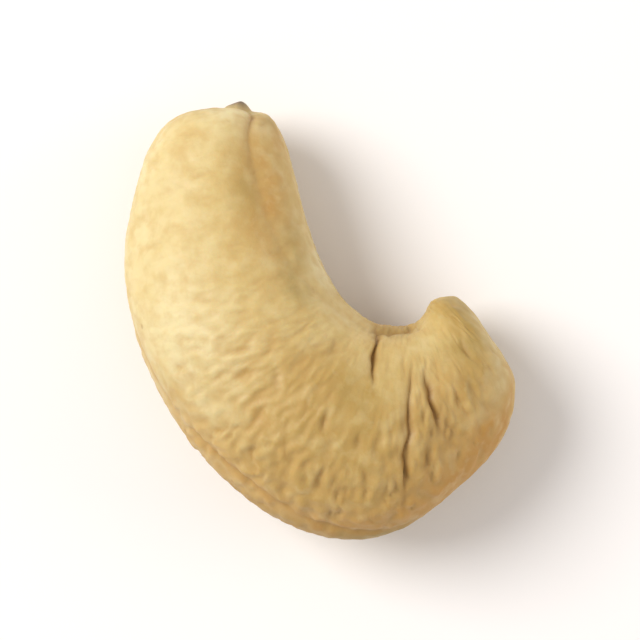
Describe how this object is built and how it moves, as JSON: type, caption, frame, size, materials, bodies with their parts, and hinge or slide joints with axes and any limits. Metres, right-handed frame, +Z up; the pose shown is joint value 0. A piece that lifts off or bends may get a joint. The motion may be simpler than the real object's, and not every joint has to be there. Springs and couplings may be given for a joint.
{
  "type": "cashew nut",
  "caption": "Shelled whole cashew kernel, curved like a comma, with a seam round its edge and folds in its bend; a loose snack or cooking ingredient that lies on its side.",
  "frame": {"origin": "middle of the footprint's box, on the surface that the kernel rests on", "axes": "+Z up out of the kernel's side as it lies; +Y from the bend towards the long arm's tip; +X from the long arm towards the short one"},
  "size_m": [0.0198, 0.0226, 0.0104],
  "materials": {
    "kernel": null
  },
  "bodies": {
    "root": {"cashew_kernel": "kernel"}
  },
  "joints": []
}
